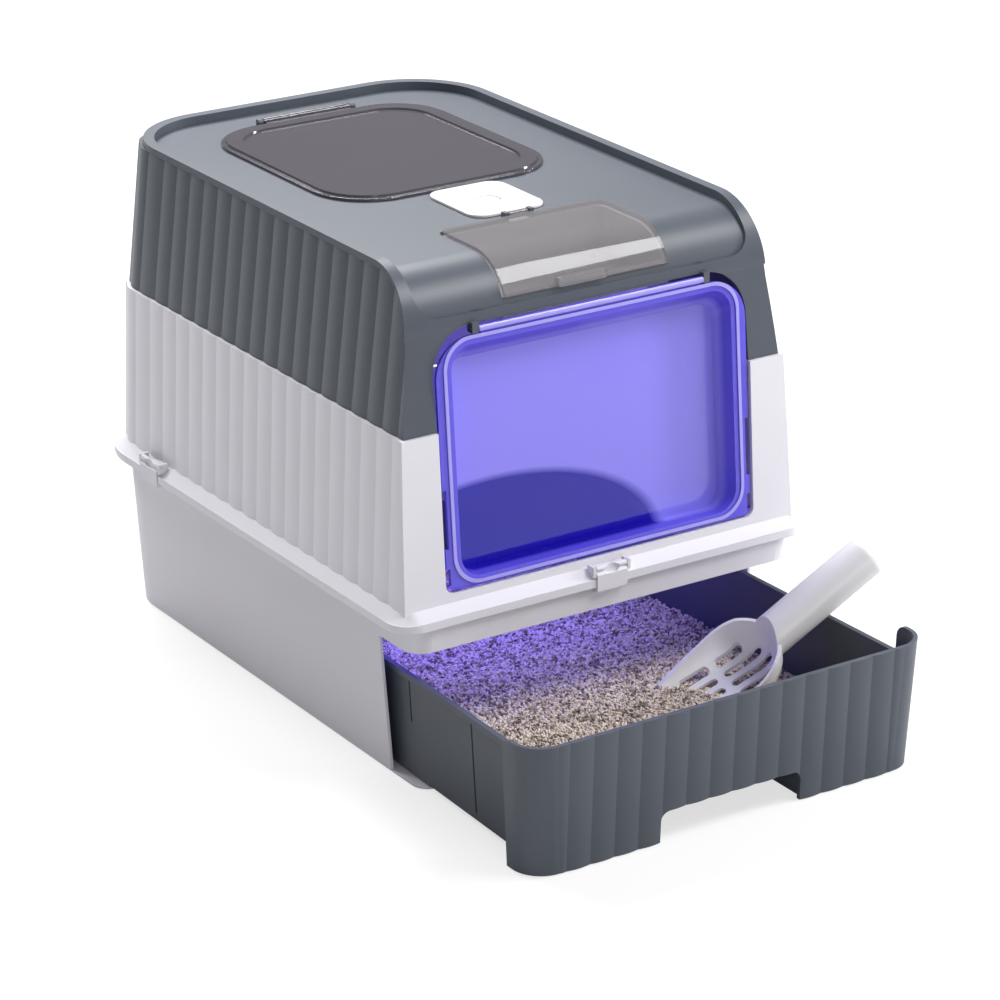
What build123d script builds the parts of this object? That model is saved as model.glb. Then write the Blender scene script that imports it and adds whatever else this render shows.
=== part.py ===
from build123d import *
import os
from math import cos, pi, sin

# Hooded drawer litter box: a tapered tub, a ribbed two-part hood with a top lid and a front door, and a
# pull-out litter drawer, shown with the drawer out at its stop and the scoop standing in the litter.
# Millimetres. +Z up, the drawer front faces -Y, origin on the floor under the middle of the housing.

os.makedirs("parts", exist_ok=True)

# ---- housing: heights above the floor
tub_top = 150.0
flange_bottom = 148.0
shell_foot = 162.0
joint_height = 307.5
shoulder_height = 434.0

# ---- housing: half widths and depths at those heights
tub_floor_half = 181.0
tub_top_half = 192.5
shell_foot_half = 195.4
shell_top_half = 188.6
hood_foot_half = 186.0
hood_top_half = 171.0
flange_overhang = 11.4
front_at_foot = 262.0
front_at_joint = 251.7
hood_set_back = 2.7
front_at_shoulder = 238.5
back_depth = 263.0
back_radius = 66.0

beam_front = 269.0

# ---- housing: walls and ribs
wall = 3.0
tub_wall = 2.4
tub_floor = 2.5
tub_rim = 8.6
mouth_floor_half = 178.4
mouth_top_half = 188.0
side_cut = 214.0
mouth_top = 127.0
spigot_half = 181.2
spigot_front = 241.4
spigot_back = 256.4
rib_pitch = 23.91
rib_bulge = 1.3
hood_first_rib = -239.8
shell_first_rib = -236.0
joint_gap = 0.3

# ---- hood top
brow_radius = 48.0
rim_height = 5.5
rim_proud = 1.8
rim_width = 8.0
recess_depth = 2.0
recess_front = 398.0

# ---- top lid
lid_half = 112.0
lid_front = -40.0
lid_back = 211.0
lid_radius = 54.0
lid_frame = 19.0
lid_thick = 2.4
pin_radius = 1.5
pin_clearance = 0.05

# ---- storage pocket and deodorizer
pocket_half = 82.0
pocket_back = -134.5
pocket_front = 402.5
cover_gap = 1.6
cover_thick = 2.4
pocket_depth = 46.0
module_half = 37.0
module_back = -43.0
module_front = -125.0
module_depth = 28.0
button_radius = 10.0

# ---- front door
door_half = 155.0
door_bottom = 170.5
door_top = 389.5
door_gap = 2.2
door_brow = 40.0
door_thick = 3.0
door_pan_depth = 20.0
door_tilt = 4.75

# ---- drawer
travel = 176.0
drawer_front = beam_front + travel
drawer_length = 505.0
drawer_floor_half = 177.5
drawer_rim_half = 183.0
drawer_taper = 13.0
drawer_foot = 2.8
drawer_rim = 98.0
drawer_wall = 2.5
rim_roll = 2.2
front_height = 114.6
front_half = 194.0
front_flare = 4.7
front_lean = 5.5
front_radius = 27.0
front_wrap = 36.0
front_thick = 3.6
front_pitch = 22.96
grip_half = 70.0
grip_height = 28.0
grip_depth = 60.0
litter_top = 37.0

# ---- hinge lines and small parts
lug_at = 48.0
lid_pin_y = 214.5
lid_pin_z = 436.0
lid_seat = 432.3
small_pin_radius = 1.2
cover_pin_y = -131.8
cover_pin_z = 434.2
cover_stand = 0.6
door_lug_at = 114.0
door_pin_y = -241.6
door_pin_z = 385.6
door_face = 260.4
pan_half = 139.0
pan_height = 196.0
pan_middle = 108.0
button_y = -88.0
clip_width = 30.0
clip_pin_z = 164.5
clip_pin_in = 2.2

# ---- scoop
scoop_width = 78.0
scoop_length = 96.0
scoop_wall = 2.6
handle_length = 119.0
handle_width = 40.0
handle_thick = 33.0
scoop_floor_radius = 24.0
handle_bend = 11.5 * pi / 180
scoop_turn = 12 * pi / 180
scoop_pitch = 25 * pi / 180
scoop_roll = 12 * pi / 180
scoop_heel = (drawer_rim_half - 39.1, 128.7 - drawer_front, litter_top + 24.7)


def fluted_outline(half, front, back, first_rib):
    """Draws a plan outline with a plain front and shallow bulging ribs along the sides and the back."""
    corner = half - back_radius
    turn = back - back_radius
    points = [(-half, -front)]
    y = first_rib
    while y < turn - rib_pitch * 0.6:
        points.append((-half, y))
        y += rib_pitch
    for i in range(5):
        angle = pi - i * pi / 8
        points.append((-corner + back_radius * cos(angle), turn + back_radius * sin(angle)))
    points += [(-corner + corner * i / 5, back) for i in range(1, 5)]
    points += [(0, back)] + [(-x, y) for x, y in reversed(points)]
    for a, b in zip(points, points[1:]):
        run = (Vector(*b) - Vector(*a)).length
        outward = Vector(a[1] - b[1], b[0] - a[0]) / run
        bulge = rib_bulge * min(1.0, run / rib_pitch)
        if min(a[1], b[1]) > turn - 1 and max(abs(a[0]), abs(b[0])) > corner + 1:
            bulge += back_radius * (1 - cos(pi / 16))
        ThreePointArc(a, (Vector(*a) + Vector(*b)) * 0.5 + outward * bulge, b)
    Line(points[-1], points[0])


def plan(half, front, back, back_radius, front_radius):
    """Draws a plain plan outline with its own corner radius at the back and at the front."""
    with Locations((0, (back - front) / 2)):
        Rectangle(2 * half, front + back)
    fillet(vertices().group_by(Axis.Y)[-1], back_radius)
    fillet(vertices().group_by(Axis.Y)[0], front_radius)


def shell_profile(inward):
    """Draws the side view of the shell front, its skin moved inward."""
    Polygon(
        (-front_at_foot + inward, tub_top - 20),
        (-front_at_foot + inward, shell_foot),
        (-front_at_joint + inward, joint_height),
        (320, joint_height),
        (320, tub_top - 20),
        align=None,
    )


def brow_profile(lift=0, inward=0):
    """Draws the side view of the hood: the lean, the brow and the top, raised by lift or moved inward."""
    top = shoulder_height + lift - inward
    front = -front_at_shoulder + inward
    Polygon(
        (-front_at_joint + hood_set_back + inward, joint_height),
        (front, shoulder_height - brow_radius - 1),
        (front, top),
        (320, top),
        (320, joint_height),
        align=None,
    )
    brow = vertices().filter_by_position(Axis.X, front - 0.1, front + 0.1).sort_by(Axis.Y)[-1]
    fillet(brow, brow_radius + lift - inward)


def tray_plan(half, inset=0):
    """Draws the tray's plan, a little narrower at its back."""
    Polygon(
        (-half + inset, -tray_front + inset),
        (half - inset, -tray_front + inset),
        (half - drawer_taper - inset, tray_back - inset),
        (-half + drawer_taper + inset, tray_back - inset),
        align=None,
    )
    fillet(vertices().group_by(Axis.Y)[-1], 34 - inset)
    fillet(vertices().group_by(Axis.Y)[0], 8 - inset)


def shovel_plan(inset):
    """Draws the shovel's floor: straight sides, an open mouth and a round back."""
    half = scoop_width / 2 - inset
    Polygon(
        (-scoop_length - inset, -half),
        (-scoop_length - inset, half),
        (-half - inset, half),
        (-half - inset, -half),
        align=None,
    )
    with Locations((-half - inset, 0)):
        Circle(half)


tray_front = drawer_front - 5.2
tray_back = drawer_length - tray_front

# ---- housing front opening, as a cutter shared by the hood and the shell
with BuildPart() as doorway:
    with BuildSketch(Plane.XZ.offset(215)):
        with Locations((0, (door_bottom + door_top) / 2)):
            Rectangle(2 * door_half, door_top - door_bottom)
        fillet(vertices().group_by(Axis.Y)[-1], door_brow)
        fillet(vertices().group_by(Axis.Y)[0], 9)
    extrude(amount=80)


# ---- tub: one thin tapered moulding, open at the top and at the front for the drawer
with BuildPart() as base_tub:
    with BuildSketch():
        plan(tub_floor_half, front_at_foot, back_depth - 3, 58, 16)
    with BuildSketch(Plane.XY.offset(tub_top)):
        plan(tub_top_half, beam_front, back_depth, back_radius, 18)
    loft()
    fillet(faces().sort_by(Axis.Z)[0].edges(), 2)
    with BuildSketch(Plane.XY.offset(tub_floor)):
        plan(tub_floor_half - tub_wall, front_at_foot - tub_wall, back_depth - 3 - tub_wall, 56, 14)
    with BuildSketch(Plane.XY.offset(tub_top)):
        plan(tub_top_half - tub_wall, beam_front - tub_wall, back_depth - tub_wall, back_radius - 2, 16)
    loft(mode=Mode.SUBTRACT)
    # the rim that carries the shell
    with BuildSketch(Plane.XY.offset(tub_top - 1.5)):
        plan(tub_top_half + tub_rim, beam_front + 0.5, back_depth + tub_rim - 1.6, back_radius + tub_rim, 24)
        plan_inner = tub_top_half - tub_wall
        with Locations((0, (back_depth - beam_front) / 2)):
            Rectangle(2 * plan_inner, beam_front + back_depth - 2 * tub_wall, mode=Mode.SUBTRACT)
    extrude(amount=3.7)
    # the mouth
    with BuildSketch(Plane.XZ.offset(beam_front - 40)):
        Polygon(
            (-mouth_floor_half, tub_floor),
            (mouth_floor_half, tub_floor),
            (mouth_top_half, mouth_top),
            (-mouth_top_half, mouth_top),
            align=None,
        )
        fillet(vertices().group_by(Axis.Y)[-1], 16)
    extrude(amount=60, mode=Mode.SUBTRACT)
    # the side walls stop short of the front, where the drawer front's ends go
    with Locations((0, -side_cut - 60, tub_floor)):
        with GridLocations(2 * tub_top_half, 0, 2, 1):
            on_floor = (Align.CENTER, Align.CENTER, Align.MIN)
            Box(60, 120, mouth_top - tub_floor, align=on_floor, mode=Mode.SUBTRACT)
    # the fine groove along the beam over the mouth, and the slot the front clip hooks into
    with Locations((0, -beam_front, mouth_top + 4)):
        Box(2 * tub_top_half - 50, 1.4, 1.0, mode=Mode.SUBTRACT)
    with Locations((0, -beam_front, flange_bottom - 2)):
        Box(clip_width + 2, 8, 4, mode=Mode.SUBTRACT)

# ---- middle shell: ribbed sides and back, plain front, a flared flange over the tub rim
with BuildPart() as middle_shell:
    with BuildSketch(Plane.XY.offset(flange_bottom + 6)):
        with BuildLine():
            fluted_outline(shell_foot_half, front_at_foot + 0.5, back_depth, shell_first_rib)
        make_face()
    with BuildSketch(Plane.XY.offset(joint_height)):
        with BuildLine():
            fluted_outline(shell_top_half, front_at_foot + 0.5, back_depth, shell_first_rib)
        make_face()
    loft(ruled=True)
    with BuildSketch(Plane.YZ.offset(-250)):
        shell_profile(0)
    extrude(amount=500, mode=Mode.INTERSECT)
    # flange: a flat lip, then a slope up to the foot of the ribs
    flange_half = shell_foot_half + flange_overhang
    flange_front = front_at_foot + flange_overhang
    flange_back = back_depth + flange_overhang
    with BuildSketch(Plane.XY.offset(flange_bottom)):
        plan(flange_half, flange_front, flange_back, back_radius + flange_overhang, 22)
    extrude(amount=8)
    fillet(faces().filter_by(Plane.XY).sort_by(Axis.Z)[0].outer_wire().edges(), 1.5)
    with BuildSketch(Plane.XY.offset(flange_bottom + 8)):
        plan(flange_half - 1, flange_front - 1, flange_back - 1, back_radius + flange_overhang - 1, 21)
    with BuildSketch(Plane.XY.offset(shell_foot + 1.5)):
        plan(shell_foot_half, front_at_foot + 0.6, back_depth + 0.4, back_radius, 10)
    loft()
    # inside
    with BuildSketch(Plane.XY.offset(flange_bottom)):
        plan(shell_foot_half - wall, front_at_foot - wall, back_depth - wall, back_radius - wall, 8)
    with BuildSketch(Plane.XY.offset(joint_height - 5)):
        plan(shell_top_half - wall, front_at_joint - wall, back_depth - wall, back_radius - wall, 8)
    loft(mode=Mode.SUBTRACT)
    with BuildSketch(Plane.XY.offset(flange_bottom)):
        flange_radius = back_radius + flange_overhang
        plan(flange_half - wall, flange_front - wall, flange_back - wall, flange_radius - wall, 20)
    extrude(amount=4.6, mode=Mode.SUBTRACT)
    # the spigot that locates the hood
    with BuildSketch(Plane.XY.offset(joint_height)):
        plan(spigot_half, spigot_front, spigot_back, back_radius - wall - 2, 6)
    extrude(amount=8)
    with BuildSketch(Plane.XY.offset(joint_height - 5)):
        plan(spigot_half - wall, spigot_front - wall, spigot_back - wall, back_radius - 2 * wall - 2, 4)
    extrude(amount=14, mode=Mode.SUBTRACT)
    add(doorway.part, mode=Mode.SUBTRACT)

# ---- hood: ribbed sides and back, a rounded brow, and a raised rim around the recessed top
with BuildPart() as hood:
    with BuildSketch(Plane.XY.offset(joint_height + joint_gap)):
        with BuildLine():
            fluted_outline(hood_foot_half, front_at_joint, back_depth - 2, hood_first_rib)
        make_face()
    with BuildSketch(Plane.XY.offset(shoulder_height)):
        with BuildLine():
            fluted_outline(hood_top_half, front_at_joint, back_depth - 2, hood_first_rib)
        make_face()
    loft(ruled=True)
    with BuildSketch(Plane.YZ.offset(-250)):
        brow_profile()
    extrude(amount=500, mode=Mode.INTERSECT)

with BuildPart() as rim:
    rim_back = back_depth - 2 + rim_proud
    with BuildSketch(Plane.XY.offset(joint_height)):
        plan(hood_foot_half + rim_proud, front_at_joint, rim_back, back_radius + rim_proud, 5)
    with BuildSketch(Plane.XY.offset(shoulder_height + 12)):
        plan(hood_top_half + rim_proud - 1.4, front_at_joint, rim_back, back_radius + 14, 5)
    loft()
    with BuildSketch(Plane.YZ.offset(-250)):
        brow_profile(lift=rim_height)
    extrude(amount=500, mode=Mode.INTERSECT)
    with BuildSketch(Plane.YZ.offset(-250)):
        brow_profile()
    extrude(amount=500, mode=Mode.SUBTRACT)

with BuildPart() as recess:
    with BuildSketch(Plane.XY.offset(recess_front)):
        plan(hood_top_half - rim_width, 300, back_depth - 2 - rim_width, back_radius + 5, 2)
    extrude(amount=60)
    with BuildSketch(Plane.XZ.offset(-300)):
        with Locations((0, recess_front + 40)):
            Rectangle(2 * (hood_top_half - rim_width), 80)
        fillet(vertices().group_by(Axis.Y)[0], 20)
    extrude(amount=600, mode=Mode.INTERSECT)
    with BuildSketch(Plane.YZ.offset(-250)):
        brow_profile(inward=recess_depth)
    extrude(amount=500, mode=Mode.SUBTRACT)

with BuildPart() as hood_inside:
    with BuildSketch(Plane.XY.offset(joint_height)):
        plan(hood_foot_half - wall, front_at_joint, back_depth - 2 - wall, back_radius - wall, 4)
    with BuildSketch(Plane.XY.offset(shoulder_height)):
        plan(hood_top_half - wall, front_at_joint, back_depth - 2 - wall, back_radius - wall, 4)
    loft()
    with BuildSketch(Plane.YZ.offset(-250)):
        brow_profile(inward=recess_depth + wall)
    extrude(amount=500, mode=Mode.INTERSECT)

# ---- hood openings, slots and pin lugs
floor_top = shoulder_height - recess_depth
with hood:
    add(rim.part)
    add(recess.part, mode=Mode.SUBTRACT)
    add(hood_inside.part, mode=Mode.SUBTRACT)
    add(doorway.part, mode=Mode.SUBTRACT)
    # the exit hole under the lid, the module's seat and the storage pocket
    with BuildSketch(Plane.XY.offset(floor_top - 10)):
        with Locations((0, (lid_front + lid_back) / 2)):
            RectangleRounded(2 * lid_half - 24, lid_back - lid_front - 28, lid_radius - 14)
        with Locations((0, (module_front + module_back) / 2)):
            RectangleRounded(2 * module_half - 6, module_back - module_front - 6, 12)
    extrude(amount=30, mode=Mode.SUBTRACT)
    with BuildSketch(Plane.XY.offset(pocket_front)):
        with Locations((0, (pocket_back - 300) / 2)):
            Rectangle(2 * pocket_half, 300 + pocket_back)
        fillet(vertices().group_by(Axis.Y)[-1], 9)
    extrude(amount=60, mode=Mode.SUBTRACT)
    # a notch for the storage cover's knuckle and two drain slots in the brow ledge
    with Locations((0, pocket_back + 3, floor_top)):
        Box(20, 9, 8, mode=Mode.SUBTRACT)
    with GridLocations(219, 0, 2, 1):
        with Locations((0, -front_at_shoulder, recess_front + 1.5)):
            Box(9, 8, 3.4, mode=Mode.SUBTRACT)
    # lugs that hold the lid's pin
    for side in (-lug_at, lug_at):
        with BuildSketch(Plane.YZ.offset(side - 2.5)):
            with Locations((lid_pin_y, lid_pin_z)):
                Circle(2.9)
            with Locations((lid_pin_y, (lid_pin_z + floor_top - 1) / 2)):
                Rectangle(5.4, lid_pin_z - floor_top + 1)
        extrude(amount=5)
    with BuildSketch(Plane.YZ.offset(-80)):
        with Locations((lid_pin_y, lid_pin_z)):
            Circle(pin_radius)
    extrude(amount=160, mode=Mode.SUBTRACT)
    # lugs that hold the storage cover's pin
    with BuildSketch(Plane.XY.offset(floor_top - 3)):
        with Locations((-12.4, cover_pin_y), (12.4, cover_pin_y)):
            Rectangle(4, 6)
    extrude(amount=cover_pin_z + 2.4 - floor_top + 3)
    with BuildSketch(Plane.YZ.offset(-20)):
        with Locations((cover_pin_y, cover_pin_z)):
            Circle(small_pin_radius)
    extrude(amount=40, mode=Mode.SUBTRACT)
    # lugs that hold the door's pin
    with BuildSketch(Plane.XZ.offset(front_at_shoulder - 3)):
        with Locations((-door_lug_at, door_top - 2.5), (door_lug_at, door_top - 2.5)):
            Rectangle(6, 9)
    extrude(amount=8)
    with BuildSketch(Plane.YZ.offset(-140)):
        with Locations((door_pin_y, door_pin_z)):
            Circle(pin_radius)
    extrude(amount=280, mode=Mode.SUBTRACT)

# ---- rim clips: four snap levers in notches of the flange, each on two small ears of the shell
clip_places = {
    "rim_clip_front": Location((0, -flange_front, 0)),
    "rim_clip_back": Location((0, flange_back, 0), (0, 0, 180)),
    "rim_clip_left": Location((-flange_half, 150, 0), (0, 0, -90)),
    "rim_clip_right": Location((flange_half, 150, 0), (0, 0, 90)),
}
with BuildPart() as clip_notch:
    with Locations((0, 1.2, flange_bottom + 12)):
        Box(clip_width + 1.2, 9.4, 30)
with BuildPart() as clip_ears:
    with Locations((0, 4.4, clip_pin_z - 2)):
        with GridLocations(clip_width + 4.4, 0, 2, 1):
            Box(3, 9, 9)
    with Locations((0, clip_pin_in, clip_pin_z)):
        Cylinder(1.2, clip_width + 12, rotation=(0, 90, 0), mode=Mode.SUBTRACT)
with BuildPart() as clip:
    with BuildSketch(Plane.YZ.offset(-clip_width / 2)):
        Polygon(
            (-1.0, flange_bottom - 3),
            (7.2, flange_bottom - 3),
            (7.2, flange_bottom - 0.6),
            (3.2, flange_bottom - 0.6),
            (3.2, clip_pin_z),
            (-1.0, clip_pin_z - 5),
            align=None,
        )
    extrude(amount=clip_width)
    with Locations((0, clip_pin_in, clip_pin_z)):
        Cylinder(2.6, clip_width, rotation=(0, 90, 0))
        Cylinder(1.14, clip_width + 6, rotation=(0, 90, 0))
    with BuildSketch(Plane.XZ.offset(-1.6)):
        with Locations((0, clip_pin_z - 1.5)):
            Ellipse(8, 4)
    extrude(amount=5, mode=Mode.SUBTRACT)
clips = {}
for name, place in clip_places.items():
    with middle_shell:
        add(clip_notch.part.moved(place), mode=Mode.SUBTRACT)
        add(clip_ears.part.moved(place))
    clips[name] = clip.part.moved(place)

# ---- top lid: a smoky clear plate with a raised frame, a skirt into the exit hole and a hinge barrel
lid_middle = (lid_front + lid_back) / 2
lid_length = lid_back - lid_front
with BuildPart() as top_lid:
    with BuildSketch(Plane.XY.offset(lid_seat)):
        with Locations((0, lid_middle)):
            RectangleRounded(2 * lid_half, lid_length, lid_radius)
    extrude(amount=lid_thick)
    fillet(faces().sort_by(Axis.Z)[-1].edges(), 1.0)
    with BuildSketch(Plane.XY.offset(lid_seat + lid_thick - 0.8)):
        with Locations((0, lid_middle)):
            RectangleRounded(2 * lid_half - 8, lid_length - 8, lid_radius - 4)
            RectangleRounded(
                2 * (lid_half - lid_frame),
                lid_length - 2 * lid_frame,
                lid_radius - lid_frame + 4,
                mode=Mode.SUBTRACT,
            )
    extrude(amount=2.6, taper=20)
    with BuildSketch(Plane.XY.offset(lid_seat - 6)):
        with Locations((0, lid_middle)):
            RectangleRounded(2 * lid_half - 28, lid_length - 32, lid_radius - 16)
            RectangleRounded(2 * lid_half - 33, lid_length - 37, lid_radius - 18.5, mode=Mode.SUBTRACT)
    extrude(amount=6)
    with Locations((0, lid_back - 1, lid_seat + 2.2)):
        Box(2 * lug_at - 8, 6, 3)
    with BuildSketch(Plane.YZ.offset(-lug_at + 3.2)):
        with Locations((lid_pin_y, lid_pin_z)):
            Circle(3.2)
    extrude(amount=2 * lug_at - 6.4)
    with BuildSketch(Plane.YZ.offset(-80)):
        with Locations((lid_pin_y, lid_pin_z)):
            Circle(pin_radius + pin_clearance)
    extrude(amount=160, mode=Mode.SUBTRACT)
with BuildPart() as lid_pin:
    with Locations((0, lid_pin_y, lid_pin_z)):
        Cylinder(pin_radius, 2 * lug_at + 6, rotation=(0, 90, 0))

# ---- storage bin: a white open box under the brow, with a thin flange against the skin
bin_top = recess_depth + wall + 0.3
with BuildPart() as bin_flange:
    with BuildSketch(Plane.XY.offset(pocket_front + 2)):
        with Locations((0, (pocket_back - 294) / 2)):
            Rectangle(2 * pocket_half + 12, 306 + pocket_back)
    extrude(amount=60)
    with BuildSketch(Plane.YZ.offset(-120)):
        brow_profile(inward=bin_top)
    extrude(amount=240, mode=Mode.INTERSECT)
    with BuildSketch(Plane.YZ.offset(-120)):
        brow_profile(inward=bin_top + 2)
    extrude(amount=240, mode=Mode.SUBTRACT)
with BuildPart() as storage_bin:
    with BuildSketch(Plane.XY.offset(floor_top - pocket_depth)):
        with Locations((0, (pocket_back - 300) / 2)):
            Rectangle(2 * pocket_half, 300 + pocket_back)
        fillet(vertices().group_by(Axis.Y)[-1], 9)
    extrude(amount=60)
    with BuildSketch(Plane.YZ.offset(-120)):
        brow_profile(inward=bin_top)
    extrude(amount=240, mode=Mode.INTERSECT)
    add(bin_flange.part)
with BuildPart() as bin_hollow:
    with BuildSketch(Plane.XY.offset(floor_top - pocket_depth + 2)):
        with Locations((0, (pocket_back - 303) / 2)):
            Rectangle(2 * pocket_half - 6, 297 + pocket_back)
        fillet(vertices().group_by(Axis.Y)[-1], 7)
    extrude(amount=60)
    with BuildSketch(Plane.YZ.offset(-120)):
        brow_profile(inward=bin_top + 2)
    extrude(amount=240, mode=Mode.INTERSECT)
    with BuildSketch(Plane.XY.offset(pocket_front + 2)):
        with Locations((0, (pocket_back - 303) / 2)):
            Rectangle(2 * pocket_half - 6, 297 + pocket_back)
        fillet(vertices().group_by(Axis.Y)[-1], 7)
    extrude(amount=60)
with storage_bin:
    add(bin_hollow.part, mode=Mode.SUBTRACT)

# ---- storage cover: a smoky clear plate that follows the brow, with a knuckle and a finger tab
with BuildPart() as storage_cover:
    with BuildSketch(Plane.YZ.offset(-pocket_half + cover_gap)):
        brow_profile(inward=-cover_stand)
    extrude(amount=2 * (pocket_half - cover_gap))
    with BuildSketch(Plane.YZ.offset(-200)):
        brow_profile(inward=cover_thick - cover_stand)
    extrude(amount=400, mode=Mode.SUBTRACT)
    with BuildSketch(Plane.XY.offset(pocket_front + cover_gap)):
        with Locations((0, (pocket_back - cover_gap - 300) / 2)):
            Rectangle(2 * (pocket_half - cover_gap), 300 + pocket_back - cover_gap)
        fillet(vertices().group_by(Axis.Y)[-1], 8)
    extrude(amount=60, mode=Mode.INTERSECT)
    with BuildSketch(Plane.XZ.offset(front_at_shoulder - 6)):
        with Locations((-6, pocket_front + 5)):
            RectangleRounded(48, 8, 3)
    extrude(amount=5)
    with Locations((0, pocket_back - 1.5, cover_pin_z - 0.6)):
        Box(18, 6, 1.8)
    with BuildSketch(Plane.YZ.offset(-9)):
        with Locations((cover_pin_y, cover_pin_z)):
            Circle(2.4)
    extrude(amount=18)
    with BuildSketch(Plane.YZ.offset(-20)):
        with Locations((cover_pin_y, cover_pin_z)):
            Circle(small_pin_radius + pin_clearance)
    extrude(amount=40, mode=Mode.SUBTRACT)
with BuildPart() as storage_pin:
    with Locations((0, cover_pin_y, cover_pin_z)):
        Cylinder(small_pin_radius, 28.8, rotation=(0, 90, 0))

# ---- deodorizer: a white rounded module hung in its seat, with a push button, a board and a cell inside
module_middle = (module_front + module_back) / 2
module_length = module_back - module_front
module_foot = lid_seat - module_depth
board_at = lid_seat - 8.8
with BuildPart() as deodorizer_case:
    with BuildSketch(Plane.XY.offset(lid_seat)):
        with Locations((0, module_middle)):
            RectangleRounded(2 * module_half, module_length, 15)
    extrude(amount=2.2)
    fillet(faces().sort_by(Axis.Z)[-1].edges(), 1.0)
    with BuildSketch(Plane.XY.offset(module_foot + 2.4)):
        with Locations((0, module_middle)):
            RectangleRounded(2 * module_half - 7.4, module_length - 7.4, 11.3)
    extrude(amount=module_depth - 2.4)
    with BuildSketch(Plane.XY.offset(module_foot)):
        with Locations((0, module_middle)):
            RectangleRounded(2 * module_half - 11.4, module_length - 11.4, 9.3)
    extrude(amount=module_depth, mode=Mode.SUBTRACT)
    with Locations((0, button_y, lid_seat)):
        Cylinder(button_radius + 0.3, 10, mode=Mode.SUBTRACT)
with BuildPart() as deodorizer_base:
    with BuildSketch(Plane.XY.offset(module_foot)):
        with Locations((0, module_middle)):
            RectangleRounded(2 * module_half - 7.4, module_length - 7.4, 11.3)
            with GridLocations(0, 8, 1, 5):
                SlotOverall(40, 3, mode=Mode.SUBTRACT)
    extrude(amount=2.3)
    # four posts under the board
    with BuildSketch(Plane.XY.offset(module_foot + 1)):
        with Locations((0, module_middle)):
            with GridLocations(46, 54, 2, 2):
                Circle(2.2)
    extrude(amount=board_at - module_foot - 1.3)
with BuildPart() as deodorizer_button:
    with Locations((0, button_y, lid_seat - 0.2)):
        Cylinder(button_radius, 4.4)
    fillet(faces().sort_by(Axis.Z)[-1].edges(), 1.2)
    with Locations((0, button_y, lid_seat - 1.4)):
        Cylinder(button_radius + 2, 2)
with BuildPart() as deodorizer_board:
    with Locations((0, module_middle, board_at + 0.8)):
        Box(54, 62, 1.6)
    with Locations((0, button_y, board_at + 2.85)):
        Box(7, 7, 2.5)
with BuildPart() as deodorizer_cell:
    with Locations((0, module_middle, module_foot + 7.4)):
        Box(40, 52, 9.6)
    fillet(edges().filter_by(Axis.Y), 3)

# ---- front door: a violet clear flap hung from its top edge, with a framed pan pressed inward
tilt = door_tilt * pi / 180
door_plane = Plane(origin=(0, -door_face, door_bottom), x_dir=(1, 0, 0), z_dir=(0, -cos(tilt), sin(tilt)))
door_height = door_top - door_bottom - 9.5
with BuildPart() as front_door:
    with BuildSketch(door_plane.offset(-door_thick)):
        with Locations((0, door_gap + door_height / 2)):
            Rectangle(2 * (door_half - door_gap), door_height)
        fillet(vertices().group_by(Axis.Y)[-1], door_brow - 6)
        fillet(vertices().group_by(Axis.Y)[0], 8)
    extrude(amount=door_thick)
    with BuildSketch(door_plane.offset(-0.6)):
        with Locations((0, pan_middle)):
            RectangleRounded(2 * pan_half + 14, pan_height + 12, 26)
            RectangleRounded(2 * pan_half + 8, pan_height + 6, 24, mode=Mode.SUBTRACT)
    extrude(amount=1.8)
    with BuildSketch(door_plane.offset(-door_thick)):
        with Locations((0, pan_middle)):
            RectangleRounded(2 * pan_half + 4, pan_height + 4, 22)
    with BuildSketch(door_plane.offset(-door_pan_depth - 2.4)):
        with Locations((0, pan_middle - 8)):
            RectangleRounded(2 * pan_half - 9, pan_height - 13, 18)
    loft()
    with BuildSketch(door_plane.offset(2)):
        with Locations((0, pan_middle)):
            RectangleRounded(2 * pan_half, pan_height, 20)
    with BuildSketch(door_plane.offset(-door_pan_depth)):
        with Locations((0, pan_middle - 8)):
            RectangleRounded(2 * pan_half - 14, pan_height - 18, 16)
    loft(mode=Mode.SUBTRACT)
    # the snap notches low on both sides, each with its tab
    with BuildSketch(door_plane.offset(-10)):
        with GridLocations(2 * door_half - 2 * door_gap, 0, 2, 1):
            with Locations((0, 63)):
                Rectangle(7, 50)
            with Locations((0, 14)):
                Rectangle(7, 14)
    extrude(amount=20, mode=Mode.SUBTRACT)
    # the barrel along the top edge
    with Locations((0, door_pin_y + 0.6, door_pin_z - 3.5)):
        Box(2 * door_lug_at - 12, 2.6, 5)
    with BuildSketch(Plane.YZ.offset(-door_lug_at + 3.6)):
        with Locations((door_pin_y, door_pin_z)):
            Circle(2.9)
    extrude(amount=2 * door_lug_at - 7.2)
    with BuildSketch(Plane.YZ.offset(-140)):
        with Locations((door_pin_y, door_pin_z)):
            Circle(pin_radius + pin_clearance)
    extrude(amount=280, mode=Mode.SUBTRACT)
with BuildPart() as door_pin:
    with Locations((0, door_pin_y, door_pin_z)):
        Cylinder(pin_radius, 2 * door_lug_at + 6, rotation=(0, 90, 0))

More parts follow.
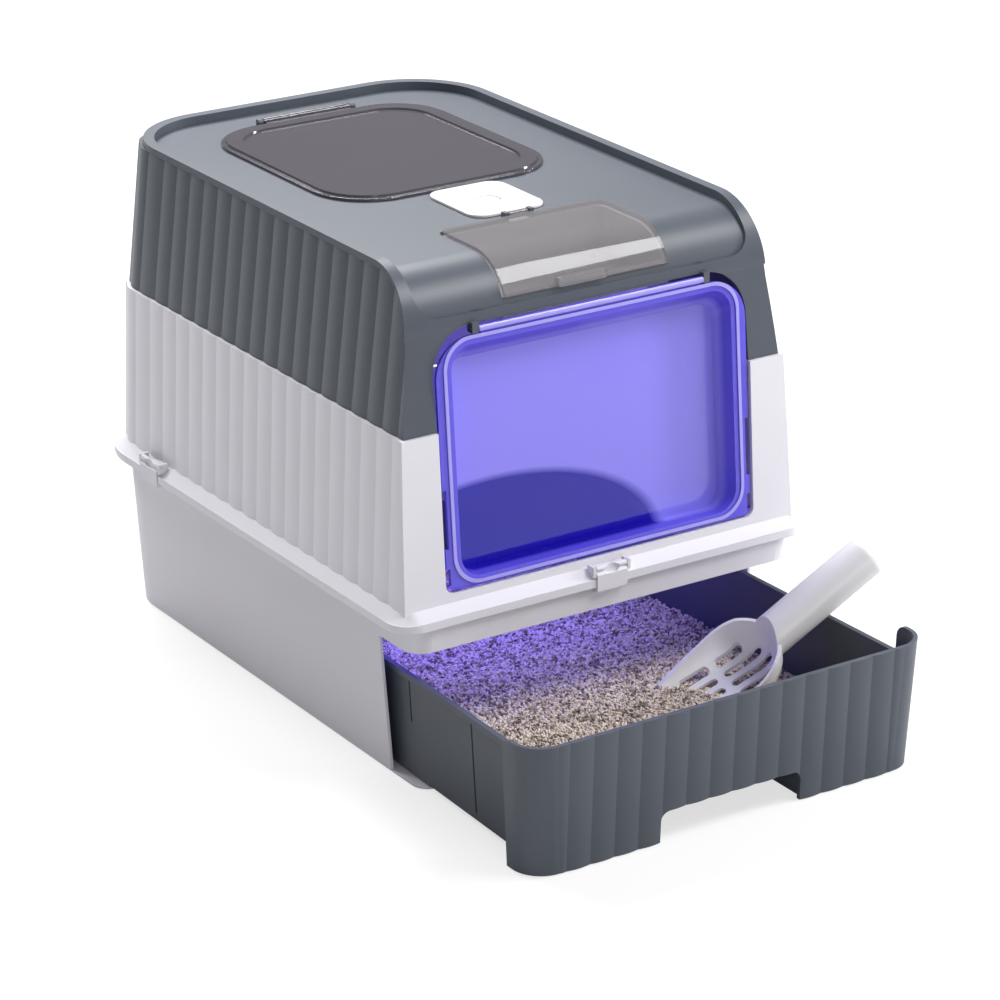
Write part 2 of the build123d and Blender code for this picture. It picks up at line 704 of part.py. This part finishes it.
# ---- drawer tray: a thin slate tray with a rolled rim, a finger recess under its front and slit catches
with BuildPart() as tray_outer:
    with BuildSketch(Plane.XY.offset(drawer_foot)):
        tray_plan(drawer_floor_half)
    with BuildSketch(Plane.XY.offset(drawer_rim)):
        tray_plan(drawer_rim_half)
    loft()
with BuildPart() as slits:
    add(tray_outer.part)
    with BuildSketch(Plane.XY.offset(drawer_foot)):
        tray_plan(drawer_floor_half, 1.2)
    with BuildSketch(Plane.XY.offset(drawer_rim)):
        tray_plan(drawer_rim_half, 1.2)
    loft(mode=Mode.SUBTRACT)
    with BuildSketch(Plane.YZ.offset(-200)):
        with Locations((103.8 - tray_front, 52)):
            Rectangle(2.2, 82)
        with Locations((201.8 - tray_front, 74)):
            Rectangle(2.2, 40)
    extrude(amount=400, mode=Mode.INTERSECT)
with BuildPart() as drawer_tray:
    add(tray_outer.part)
    fillet(faces().sort_by(Axis.Z)[0].edges(), 3)
    with BuildSketch(Plane.XY.offset(drawer_rim - 4)):
        tray_plan(drawer_rim_half + rim_roll)
    extrude(amount=5)
    with BuildSketch(Plane.XY.offset(drawer_foot + drawer_wall)):
        tray_plan(drawer_floor_half, drawer_wall)
    with BuildSketch(Plane.XY.offset(drawer_rim + 1)):
        tray_plan(drawer_rim_half, drawer_wall)
    loft(mode=Mode.SUBTRACT)
    with Locations((0, -tray_front + grip_depth / 2, drawer_foot + grip_height / 2)):
        Box(2 * grip_half + 8, grip_depth, grip_height)
    with Locations((0, -tray_front + grip_depth / 2 - drawer_wall, grip_height / 2)):
        Box(2 * grip_half + 3, grip_depth, grip_height + 1, mode=Mode.SUBTRACT)
    add(slits.part, mode=Mode.SUBTRACT)

# ---- drawer front: a ribbed slate panel whose ends wrap round the tray, with a grip cut in its lower edge
def front_outline(half, front):
    """Draws the panel's plan: a ribbed front, round corners and straight ends."""
    reach = half - front_radius
    base = front - rib_bulge
    xs = [-reach] + [front_pitch * i for i in range(-7, 8)] + [reach]
    for a, b in zip(xs, xs[1:]):
        bulge = rib_bulge * min(1.0, (b - a) / front_pitch)
        ThreePointArc((a, -base), ((a + b) / 2, -base - bulge), (b, -base))
    diagonal = front_radius * (1 - cos(pi / 4))
    ThreePointArc((reach, -base), (half - diagonal, -base + diagonal), (half, -base + front_radius))
    Polyline(
        (half, -base + front_radius),
        (half, -wrap_end),
        (-half, -wrap_end),
        (-half, -base + front_radius),
    )
    ThreePointArc((-half, -base + front_radius), (-half + diagonal, -base + diagonal), (-reach, -base))


wrap_end = drawer_front - front_wrap
with BuildPart() as drawer_panel:
    with BuildSketch(Plane.XY.offset(0.5)):
        with BuildLine():
            front_outline(front_half, drawer_front)
        make_face()
    with BuildSketch(Plane.XY.offset(front_height)):
        with BuildLine():
            front_outline(front_half + front_flare, drawer_front + front_lean)
        make_face()
    loft(ruled=True)
    inner = front_half - front_thick
    with BuildSketch():
        with Locations((0, -wrap_end)):
            Rectangle(2 * inner, 2 * (front_wrap - front_thick - rib_bulge))
        fillet(vertices(), front_radius - front_thick)
    with BuildSketch(Plane.XY.offset(front_height)):
        with Locations((0, -wrap_end)):
            Rectangle(2 * (inner + front_flare), 2 * (front_wrap + front_lean - front_thick - rib_bulge))
        fillet(vertices(), front_radius - front_thick)
    loft(mode=Mode.SUBTRACT)
    fillet(edges().filter_by(Axis.X).sort_by(lambda e: e.center().Y + e.center().Z)[-2:], 10)
    with BuildSketch(Plane.XZ.offset(wrap_end + 10)):
        with Locations((0, grip_height / 2 - 5)):
            Rectangle(2 * grip_half, grip_height + 10)
        fillet(vertices().group_by(Axis.Y)[-1], 9)
    extrude(amount=60, mode=Mode.SUBTRACT)

# ---- scoop: a white slotted shovel with a curved back wall and an oval handle
heading = Vector(cos(scoop_turn), -sin(scoop_turn), 0)
level = Vector(sin(scoop_turn), cos(scoop_turn), 0)
along = heading * cos(scoop_pitch) + Vector(0, 0, sin(scoop_pitch))
up = along.cross(level)
across = level * cos(scoop_roll) + up * sin(scoop_roll)
normal = along.cross(across)
blade = Plane(origin=scoop_heel, x_dir=along, z_dir=normal)
stem = Plane(
    origin=Vector(*scoop_heel) + normal * 26.5 - along * 4,
    x_dir=across,
    z_dir=along * cos(handle_bend) + normal * sin(handle_bend),
)
with BuildPart() as handle:
    with BuildSketch(stem):
        Ellipse(handle_width / 2, handle_thick / 2)
    extrude(amount=handle_length)
    fillet(faces().sort_by(Axis(stem.origin, stem.z_dir))[-1].edges(), 11)
with BuildPart() as bowl:
    with BuildSketch(blade.offset(scoop_wall)):
        shovel_plan(scoop_wall)
    extrude(amount=60, taper=-9)
    floor_edges = faces().sort_by(Axis(blade.origin, blade.z_dir))[0].edges()
    fillet(floor_edges.sort_by(Axis(blade.origin, blade.x_dir))[1:], scoop_floor_radius - scoop_wall)
with BuildPart() as scoop:
    with BuildSketch(blade):
        shovel_plan(0)
    extrude(amount=32, taper=-9)
    floor_edges = faces().sort_by(Axis(blade.origin, blade.z_dir))[0].edges()
    fillet(floor_edges.sort_by(Axis(blade.origin, blade.x_dir))[1:], scoop_floor_radius)
    add(handle.part)
    add(bowl.part, mode=Mode.SUBTRACT)
    # the side walls fall away towards the mouth
    with BuildSketch(Plane(origin=blade.origin, x_dir=along, z_dir=-across)):
        Polygon((-scoop_length - 20, 7), (-scoop_length - 20, 60), (-14, 60), (-14, 32), align=None)
    extrude(amount=70, both=True, mode=Mode.SUBTRACT)
    # two rows of slots: one in the floor, and one that runs on up the back wall
    with BuildSketch(blade.offset(-4)):
        for row in range(-2, 3):
            aside = row * 14
            back_end = ((scoop_width / 2 - 5) ** 2 - aside**2) ** 0.5 - scoop_width / 2
            with Locations(((back_end - 47) / 2, aside)):
                SlotOverall(back_end + 47, 8)
            with Locations((-69, aside)):
                SlotOverall(30, 8)
    extrude(amount=24, mode=Mode.SUBTRACT)

# ---- litter bed: the granules the drawer is filled with
with BuildPart() as litter_bed:
    rise = (drawer_rim_half - drawer_floor_half) * (litter_top - drawer_foot) / (drawer_rim - drawer_foot)
    with BuildSketch(Plane.XY.offset(drawer_foot + drawer_wall + 0.3)):
        tray_plan(drawer_floor_half, drawer_wall + 0.3)
    with BuildSketch(Plane.XY.offset(litter_top)):
        tray_plan(drawer_floor_half + rise, drawer_wall + 0.3)
    loft()
    with Locations((0, -tray_front + grip_depth / 2, grip_height / 2 + 1)):
        Box(2 * grip_half + 9, grip_depth + 1, grip_height + 6, mode=Mode.SUBTRACT)
    # the hollow the scoop rests in, wider on the side that it leaves by
    with BuildSketch(blade.offset(-1)):
        with Locations((-scoop_length / 2, -16)):
            Rectangle(scoop_length + 16, scoop_width + 40)
    extrude(amount=60, mode=Mode.SUBTRACT)

# ---- one file per piece
pieces = {
    "base_tub": base_tub.part,
    "middle_shell": middle_shell.part,
    "hood": hood.part,
    "top_lid": top_lid.part,
    "lid_pin": lid_pin.part,
    "storage_bin": storage_bin.part,
    "storage_cover": storage_cover.part,
    "storage_pin": storage_pin.part,
    "deodorizer_case": deodorizer_case.part,
    "deodorizer_base": deodorizer_base.part,
    "deodorizer_button": deodorizer_button.part,
    "deodorizer_board": deodorizer_board.part,
    "deodorizer_cell": deodorizer_cell.part,
    "front_door": front_door.part,
    "door_pin": door_pin.part,
    "drawer_tray": drawer_tray.part,
    "drawer_panel": drawer_panel.part,
    "litter_bed": litter_bed.part,
    "scoop": scoop.part,
}
pieces.update(clips)
for name, piece in pieces.items():
    piece.label = name
    export_step(piece, "parts/" + name + ".step")
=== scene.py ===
import math
import random

import bpy
from mathutils import Matrix, Vector


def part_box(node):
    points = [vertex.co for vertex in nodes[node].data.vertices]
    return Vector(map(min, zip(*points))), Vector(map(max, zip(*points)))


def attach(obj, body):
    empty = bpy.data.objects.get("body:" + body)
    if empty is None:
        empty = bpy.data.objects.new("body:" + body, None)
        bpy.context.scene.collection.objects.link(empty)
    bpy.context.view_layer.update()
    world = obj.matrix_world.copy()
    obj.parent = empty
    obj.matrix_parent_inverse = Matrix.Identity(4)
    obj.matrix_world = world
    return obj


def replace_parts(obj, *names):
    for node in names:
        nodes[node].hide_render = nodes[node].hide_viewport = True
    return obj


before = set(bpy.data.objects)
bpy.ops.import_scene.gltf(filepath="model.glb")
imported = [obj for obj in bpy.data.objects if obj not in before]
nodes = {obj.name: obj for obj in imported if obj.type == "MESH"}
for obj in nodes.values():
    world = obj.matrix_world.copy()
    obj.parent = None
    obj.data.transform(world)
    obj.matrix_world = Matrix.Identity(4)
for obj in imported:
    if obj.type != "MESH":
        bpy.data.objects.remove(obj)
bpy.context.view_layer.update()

# ---- Camera
# A long lens at a standing viewer's height, to the left of the open drawer.
# The housing's long side runs away to the left and the drawer comes forward.
camera_turn = math.radians(-33.13)
camera_rise = math.radians(21.89)
camera_roll = math.radians(-0.19)
camera_aim = Vector((0.06766, 0, 0.11722))
camera_distance = 3.40755
camera_back = Vector(
    (
        math.sin(camera_turn) * math.cos(camera_rise),
        -math.cos(camera_turn) * math.cos(camera_rise),
        math.sin(camera_rise),
    )
)
level_right = Vector((math.cos(camera_turn), math.sin(camera_turn), 0))
level_up = camera_back.cross(level_right)
camera_right = level_right * math.cos(camera_roll) + level_up * math.sin(camera_roll)
camera_up = camera_back.cross(camera_right)
camera_axes = Matrix((camera_right, camera_up, camera_back)).transposed().to_4x4()
camera = bpy.data.objects.new("camera", bpy.data.cameras.new("camera"))
bpy.context.scene.collection.objects.link(camera)
camera.matrix_world = Matrix.Translation(camera_aim + camera_back * camera_distance) @ camera_axes
camera.data.sensor_width = 36
camera.data.lens = 136.475
camera.data.clip_start = 0.1
camera.data.clip_end = 50
bpy.context.scene.camera = camera


# ---- Hood
# The upper half of the housing: polypropylene, injection moulded in slate grey.
# Its sides carry soft upright flutes, and the brow and the top are plain.
def linear(code):
    """Turns an sRGB hex value into the linear colour that a shader takes."""
    values = [int(code[i : i + 2], 16) / 255 for i in (0, 2, 4)]
    curve = [v / 12.92 if v <= 0.04045 else ((v + 0.055) / 1.055) ** 2.4 for v in values]
    return (*curve, 1.0)


def node(material, kind, links=(), **settings):
    """Adds a shader node: settings name its options or its inputs, and links feed its inputs."""
    made = material.node_tree.nodes.new(kind)
    for name, value in settings.items():
        if hasattr(made, name):
            setattr(made, name, value)
        else:
            made.inputs[name.replace("_", " ")].default_value = value
    for socket, source in links:
        material.node_tree.links.new(made.inputs[socket], source)
    return made


def new_material(name, **finish):
    """Starts a node material, and returns it with its surface shader and the object's own coordinates."""
    material = bpy.data.materials.new(name)
    material.use_nodes = True
    material.node_tree.nodes.clear()
    surface = node(material, "ShaderNodeBsdfPrincipled", **finish)
    node(material, "ShaderNodeOutputMaterial", [("Surface", surface.outputs["BSDF"])])
    place = node(material, "ShaderNodeTexCoord").outputs["Object"]
    return material, surface, place


def cloud_colour(material, surface, place, first, second, cloud_mm, detail=2.0):
    """Colours a surface with two tones that drift into each other in clouds of a given size."""
    scale = 1000 / cloud_mm
    cloud = node(material, "ShaderNodeTexNoise", [("Vector", place)], Scale=scale, Detail=detail)
    fed = [("Factor", cloud.outputs["Fac"])]
    tone = node(material, "ShaderNodeMix", fed, data_type="RGBA", A=first, B=second)
    material.node_tree.links.new(surface.inputs["Base Color"], tone.outputs["Result"])


def moulded_plastic(name, colour, shade, roughness, grain_mm=0.9, relief=0.02):
    """Injection-moulded plastic: an even colour with a faint cloud, and the mould's grain, drawn coarser."""
    material, surface, place = new_material(name, Roughness=roughness, IOR=1.49)
    cloud_colour(material, surface, place, linear(colour), linear(shade), cloud_mm=120, detail=3.0)
    grain = node(material, "ShaderNodeTexNoise", [("Vector", place)], Scale=1000 / grain_mm, Detail=2.0)
    fed = [("Height", grain.outputs["Fac"])]
    bump = node(material, "ShaderNodeBump", fed, Strength=relief, Distance=0.0004)
    material.node_tree.links.new(surface.inputs["Normal"], bump.outputs["Normal"])
    return material


def paint(material, *names):
    """Gives CAD nodes a material in every slot."""
    for name in names:
        for socket in nodes[name].material_slots:
            socket.material = material


def soften_edges(name, width_mm):
    """Rounds the sharp edges of a CAD node a little, as a mould does, so that they catch the light."""
    bevel = nodes[name].modifiers.new("moulded_edges", "BEVEL")
    bevel.width = width_mm / 1000
    bevel.segments = 2
    bevel.limit_method = "ANGLE"
    bevel.angle_limit = math.radians(35)


# satin polypropylene: a broad soft highlight on the shoulders, and the flutes shade from light to dark
slate_polypropylene = moulded_plastic("slate_polypropylene", "535963", "4E545E", 0.40)
paint(slate_polypropylene, "hood")

# ---- Middle shell, tub and rim clips
# The lower housing: the same polypropylene in a cool white, a ribbed shell with a
# flange that drops over the rim of the tub, held by four small snap levers.
# satin polypropylene with titanium white: bright, and slightly violet in the shade
white_polypropylene = moulded_plastic("white_polypropylene", "E4E2E9", "E0DEE6", 0.52)
paint(white_polypropylene, "middle_shell", "base_tub", "storage_bin")
paint(white_polypropylene, "rim_clip_front", "rim_clip_back", "rim_clip_left", "rim_clip_right")


# ---- Top lid and storage cover
# Clear polystyrene tinted with smoke, polished by the mould, with a pressed frame.
# The lid closes the cat's way out through the top, and the cover a pocket in the brow.
def tinted_clear(name, colour, alpha, roughness):
    """Polished clear plastic in a thin plate: a tint, a clean reflection, and some of what lies behind."""
    material, surface, place = new_material(name, Roughness=roughness, IOR=1.59, Alpha=alpha)
    light = linear(colour)
    dark = tuple(c * 0.88 for c in light[:3]) + (1.0,)
    cloud_colour(material, surface, place, light, dark, cloud_mm=160)
    return material


# smoke-tinted polystyrene: grey brown, half hiding what is under it, with sharp reflections
smoked_polystyrene = tinted_clear("smoked_polystyrene", "5C5961", 0.80, 0.12)
paint(smoked_polystyrene, "top_lid")
soften_edges("top_lid", 0.5)
# the same plastic, thinner and so clearer: the white bin shows through it
thin_smoked_polystyrene = tinted_clear("thin_smoked_polystyrene", "8C898C", 0.52, 0.05)
paint(thin_smoked_polystyrene, "storage_cover")
soften_edges("storage_cover", 0.4)

# ---- Hinge pins
# Drawn steel rods, cut to length and pressed into lugs of the hood.
# drawn steel: bright metal with a satin streak left by the die
steel_rod, surface, place = new_material("drawn_steel_rod", Metallic=1.0, Roughness=0.3)
cloud_colour(steel_rod, surface, place, linear("A8A8AC"), linear("8C8C92"), cloud_mm=2.0)
paint(steel_rod, "lid_pin", "storage_pin", "door_pin")

# ---- Deodorizer
# A small white ABS module dropped into its seat in the hood, with a dished push
# button, and inside it a lacquered circuit board and a wrapped rechargeable cell.
# polished ABS: the brightest white on the object, with a clean small highlight
white_abs = moulded_plastic("white_abs", "DEDEE0", "DADADD", 0.25, relief=0.005)
paint(white_abs, "deodorizer_case", "deodorizer_base", "deodorizer_button")
# solder-masked glass epoxy: flat green with a slight gloss
board_lacquer = moulded_plastic("board_lacquer", "1E5B34", "1A4F2D", 0.35, grain_mm=0.5)
paint(board_lacquer, "deodorizer_board")
# heat-shrunk PVC film: smooth saturated blue
cell_film = moulded_plastic("cell_film", "23447A", "1F3C6C", 0.25, grain_mm=2.0)
paint(cell_film, "deodorizer_cell")

# ---- Front door
# A flap of clear polystyrene, hung from a pin along its top, with a framed pan
# pressed inward. The violet of the lamp that lights the cabin is painted into its colour.
# polished clear polystyrene: glassy edges, painted violet lamp light, and painted shade deepest in a dark
# mound at the lower left
clear_polystyrene_painted_violet, surface, place = new_material("clear_polystyrene_painted_violet", Roughness=0.06, IOR=1.59, Alpha=0.85)
painted_shade_middle, painted_shade_end = -0.092, 0.076
painted_shade_foot, painted_shade_top = 0.170, 0.254
painted_shade_edge = 0.93
axes = node(clear_polystyrene_painted_violet, "ShaderNodeSeparateXYZ", [("Vector", place)])
aside = node(
    clear_polystyrene_painted_violet,
    "ShaderNodeMapRange",
    [("Value", axes.outputs["X"])],
    clamp=False,
    From_Min=painted_shade_middle,
    From_Max=painted_shade_end,
)
rise = node(
    clear_polystyrene_painted_violet,
    "ShaderNodeMapRange",
    [("Value", axes.outputs["Z"])],
    clamp=False,
    From_Min=painted_shade_foot,
    From_Max=painted_shade_top,
)
fed = [("X", aside.outputs["Result"]), ("Y", rise.outputs["Result"])]
spot = node(clear_polystyrene_painted_violet, "ShaderNodeCombineXYZ", fed)
fed = [("Vector", spot.outputs["Vector"])]
reach = node(clear_polystyrene_painted_violet, "ShaderNodeVectorMath", fed, operation="LENGTH")
# painted shade: dark in a mound at the lower left, where the cabin behind the door lies in shade; painted
# violet lamp light around it
painted_violet_and_shade = node(clear_polystyrene_painted_violet, "ShaderNodeValToRGB", [("Fac", reach.outputs["Value"])])
painted_violet_and_shade.color_ramp.elements[0].position = painted_shade_edge
painted_violet_and_shade.color_ramp.elements[0].color = linear("1B10AC")
painted_violet_and_shade.color_ramp.elements[1].position = 1.0
painted_violet_and_shade.color_ramp.elements[1].color = linear("958CFC")
# outward is the distance along the door's own normal, from the pan's floor to the bead on its frame
door_lean = math.radians(4.75)
door_face = 0.2736
outward = node(clear_polystyrene_painted_violet, "ShaderNodeVectorMath", [("Vector", place)], operation="DOT_PRODUCT")
outward.inputs[1].default_value = (0, -math.cos(door_lean), math.sin(door_lean))
# painted shade: the frame stands over the dark edge of the opening, so it is painted deeper than the pan
painted_frame_shade = node(
    clear_polystyrene_painted_violet,
    "ShaderNodeMapRange",
    [("Value", outward.outputs["Value"])],
    From_Min=door_face - 0.0141,
    From_Max=door_face - 0.0081,
)
fed = [("Factor", painted_frame_shade.outputs["Result"]), ("A", painted_violet_and_shade.outputs["Color"])]
with_frame_shade = node(clear_polystyrene_painted_violet, "ShaderNodeMix", fed, data_type="RGBA", B=linear("6458E8"))
# painted highlight: the bead is thick and gathers light, so it is painted paler than both
painted_bead_highlight = node(
    clear_polystyrene_painted_violet,
    "ShaderNodeMapRange",
    [("Value", outward.outputs["Value"])],
    From_Min=door_face + 0.00035,
    From_Max=door_face + 0.0008,
)
fed = [("Factor", painted_bead_highlight.outputs["Result"]), ("A", with_frame_shade.outputs["Result"])]
with_bead_highlight = node(clear_polystyrene_painted_violet, "ShaderNodeMix", fed, data_type="RGBA", B=linear("B0A9FA"))
clear_polystyrene_painted_violet.node_tree.links.new(surface.inputs["Base Color"], with_bead_highlight.outputs["Result"])
paint(clear_polystyrene_painted_violet, "front_door")
soften_edges("front_door", 0.7)

# ---- Drawer
# A deep tray of slate polypropylene with a fluted front panel snapped on to it.
# The tray's inside stays almost black, because little light gets between its walls.
paint(slate_polypropylene, "drawer_tray", "drawer_panel")
soften_edges("drawer_panel", 0.8)

# ---- Scoop
# One moulding of white polypropylene: a slotted shovel with a round back wall
# and a thick oval handle.
# satin polypropylene, a purer white than the housing's
white_scoop = moulded_plastic("white_scoop_polypropylene", "F7F6F8", "F3F2F5", 0.34)
paint(white_scoop, "scoop")

# ---- Litter
# Clay granules, two to three millimetres across, poured into the tray.
# Beige, pale and dark grains are mixed, and loose grains cover the body of the bed.
# dry clay: dull, each grain its own tone, in cells the size of a grain
clay, surface, place = new_material("clay_granules", Roughness=0.95, IOR=1.5)
cells = node(clay, "ShaderNodeTexVoronoi", [("Vector", place)], Scale=1000 / 3.2)
shade = node(clay, "ShaderNodeSeparateColor", [("Color", cells.outputs["Color"])])
ramp = node(clay, "ShaderNodeValToRGB", [("Fac", shade.outputs["Red"])])
ramp.color_ramp.elements[0].color = linear("A4947F")
ramp.color_ramp.elements[1].color = linear("F6EBD8")
ramp.color_ramp.elements.new(0.45).color = linear("E2D3BC")
ramp.color_ramp.elements.new(0.08).color = linear("6E6254")
clay.node_tree.links.new(surface.inputs["Base Color"], ramp.outputs["Color"])

draw_grain = random.Random(7)
tray_low, tray_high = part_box("litter_bed")
bed_floor = 0.0060
grip_roof = 0.0327
grip_half = 0.083
grip_depth = 0.068


def bed_height(x, y):
    """The level of the poured litter, in metres: a little uneven, and lower along the right wall."""
    wave = math.sin(x * 21 + 1.3) * math.cos(y * 17) * 0.0014 + math.sin(x * 55 + y * 43) * 0.0007
    edge = max(0.0, (x - 0.05) / 0.12)
    return 0.0366 + wave - 0.0045 * edge * edge


def bed_half(y):
    """Half the width of the litter at this depth in the tray: the tray narrows towards its back."""
    return 0.1762 - 0.013 * (y + 0.4398) / 0.505


def add_litter(name, mesh):
    """Puts one piece of the litter into the drawer."""
    mesh.materials.append(clay)
    piece = bpy.data.objects.new(name, mesh)
    bpy.context.scene.collection.objects.link(piece)
    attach(piece, "drawer")
    return piece


def bed_mesh(pitch):
    """The body of the bed under the loose grains: its top is a grid, and its floor clears the grip recess."""
    rows = int((tray_high.y - tray_low.y) / pitch)
    columns = int(2 * bed_half(tray_low.y) / pitch)
    points = []
    for row in range(rows + 1):
        y = tray_low.y + (tray_high.y - tray_low.y) * row / rows
        for column in range(columns + 1):
            x = bed_half(y) * (2 * column / columns - 1)
            over_grip = abs(x) < grip_half and y < tray_low.y + grip_depth
            points.append((x, y, bed_height(x, y) - 0.0012))
            points.append((x, y, grip_roof if over_grip else bed_floor))
    faces = []
    for row in range(rows):
        for column in range(columns):
            a = 2 * (row * (columns + 1) + column)
            b = a + 2
            c = a + 2 * (columns + 1)
            faces.append((a, b, c + 2, c))
            faces.append((a + 1, c + 1, c + 3, b + 1))
            if row == 0:
                faces.append((a, a + 1, b + 1, b))
            if row == rows - 1:
                faces.append((c, c + 2, c + 3, c + 1))
            if column == 0:
                faces.append((a, c, c + 1, a + 1))
            if column == columns - 1:
                faces.append((b, b + 1, c + 3, c + 2))
    mesh = bpy.data.meshes.new("litter_body")
    mesh.from_pydata(points, [], faces)
    for face in mesh.polygons:
        face.use_smooth = abs(face.normal.z) > 0.5
    return mesh


# a grain starts as an icosahedron: twelve corners and twenty faces
golden = (1 + 5**0.5) / 2
grain_corners = [(-1, golden, 0), (1, golden, 0), (-1, -golden, 0), (1, -golden, 0)]
grain_corners += [(0, -1, golden), (0, 1, golden), (0, -1, -golden), (0, 1, -golden)]
grain_corners += [(golden, 0, -1), (golden, 0, 1), (-golden, 0, -1), (-golden, 0, 1)]
grain_sides = [(0, 11, 5), (0, 5, 1), (0, 1, 7), (0, 7, 10), (0, 10, 11), (1, 5, 9), (5, 11, 4)]
grain_sides += [(11, 10, 2), (10, 7, 6), (7, 1, 8), (3, 9, 4), (3, 4, 2), (3, 2, 6), (3, 6, 8)]
grain_sides += [(3, 8, 9), (4, 9, 5), (2, 4, 11), (6, 2, 10), (8, 6, 7), (9, 8, 1)]
grain_points = []
grain_faces = []


def add_grain(x, y, z, radius):
    """Adds one grain to the loose grains, turned at random and a little uneven."""
    turn = draw_grain.uniform(0, 6.28)
    axis = Vector((draw_grain.uniform(-1, 1), draw_grain.uniform(-1, 1), 1))
    stretch = Matrix.Diagonal((1, draw_grain.uniform(0.75, 1.1), draw_grain.uniform(0.7, 1.0)))
    form = Matrix.Rotation(turn, 3, axis) @ stretch
    scale = radius / (1 + golden * golden) ** 0.5
    start = len(grain_points)
    grain_points.extend(tuple(Vector((x, y, z)) + form @ Vector(c) * scale) for c in grain_corners)
    grain_faces.extend(tuple(start + i for i in side) for side in grain_sides)


def scatter(y_low, y_high, pitch, radius):
    """Lays one uneven layer of grains between two depths of the tray."""
    y = y_low
    while y < y_high:
        half = bed_half(y)
        x = -half
        while x < half:
            gx = min(max(x + draw_grain.uniform(-0.5, 0.5) * pitch, -half), half)
            gy = min(max(y + draw_grain.uniform(-0.5, 0.5) * pitch, y_low), y_high)
            size = radius * draw_grain.uniform(0.7, 1.2)
            add_grain(gx, gy, bed_height(gx, gy) + draw_grain.uniform(-0.3, 0.5) * radius, size)
            x += pitch
        y += pitch * 0.9


# finest in the open front, coarser under the housing, and coarsest where nothing shows
open_end, seen_end = -0.245, -0.03
scatter(tray_low.y + 0.0015, open_end, 0.0025, 0.0017)
scatter(open_end, seen_end, 0.0029, 0.0019)
scatter(seen_end, tray_high.y - 0.0015, 0.0055, 0.0030)

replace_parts(add_litter("litter_body", bed_mesh(0.008)), "litter_bed")
grains = bpy.data.meshes.new("litter_grains")
grains.from_pydata(grain_points, [], grain_faces)
for face in grains.polygons:
    face.use_smooth = True
add_litter("litter_grains", grains)


# ---- Floor and light
# A white paper sweep under the object. A broad softbox hangs over its back, three
# smaller ones stand in front, and two violet lamps light the cabin and the litter under it.
def area_lamp(name, place, aim, size, power, colour="FFFFFF"):
    """Adds a rectangular softbox that faces a point."""
    light = bpy.data.lights.new(name, "AREA")
    light.shape = "RECTANGLE"
    light.size, light.size_y = size
    light.energy = power
    light.color = linear(colour)[:3]
    lamp = bpy.data.objects.new(name, light)
    bpy.context.scene.collection.objects.link(lamp)
    lamp.location = place
    lamp.rotation_mode = "QUATERNION"
    lamp.rotation_quaternion = (Vector(aim) - Vector(place)).to_track_quat("-Z", "Y")


area_lamp("overhead_softbox", (0.1, 1.7, 2.4), (0, 0, 0.4), (2.6, 1.6), 126)
area_lamp("front_softbox", (1.15, -1.25, 2.3), (0, -0.3, 0.2), (1.3, 0.9), 44)
area_lamp("right_softbox", (2.8, -1.1, 1.0), (0, -0.25, 0.2), (0.4, 1.2), 50)
area_lamp("left_softbox", (-0.9, -3.0, 1.1), (0, 0, 0.2), (0.5, 1.0), 13)
area_lamp("cabin_lamp", (0.04, -0.10, 0.385), (0.02, 0.26, 0.26), (0.20, 0.04), 0.6, "8A7CFF")
area_lamp("litter_glow", (-0.03, -0.10, 0.140), (-0.03, -0.10, 0.037), (0.26, 0.16), 0.42, "7466FF")

# dull white paper: it glows a little for the camera alone, so that it is white and keeps the soft shadow
paper, surface, place = new_material("white_paper", Roughness=1.0, Specular_IOR_Level=0.0)
seen = node(paper, "ShaderNodeLightPath").outputs["Is Camera Ray"]
lit, shown = (0.62, 0.62, 0.62, 1), (0.34, 0.34, 0.34, 1)
tone = node(paper, "ShaderNodeMix", [("Factor", seen)], data_type="RGBA", A=lit, B=shown)
paper.node_tree.links.new(surface.inputs["Base Color"], tone.outputs["Result"])
lift = node(paper, "ShaderNodeMath", [(0, seen)], operation="MULTIPLY")
lift.inputs[1].default_value = 0.68
surface.inputs["Emission Color"].default_value = (1, 1, 1, 1)
paper.node_tree.links.new(surface.inputs["Emission Strength"], lift.outputs["Value"])
floor_mesh = bpy.data.meshes.new("floor")
floor_mesh.from_pydata([(-12, -12, 0), (12, -12, 0), (12, 12, 0), (-12, 12, 0)], [], [(0, 1, 2, 3)])
floor_mesh.materials.append(paper)
floor = bpy.data.objects.new("floor", floor_mesh)
floor.location.z = -0.0005
bpy.context.scene.collection.objects.link(floor)

world = bpy.data.worlds.new("studio")
bpy.context.scene.world = world
world.use_nodes = True
world.node_tree.nodes["Background"].inputs["Color"].default_value = (1, 1, 1, 1)
world.node_tree.nodes["Background"].inputs["Strength"].default_value = 0.21
bpy.context.scene.view_settings.view_transform = "Standard"
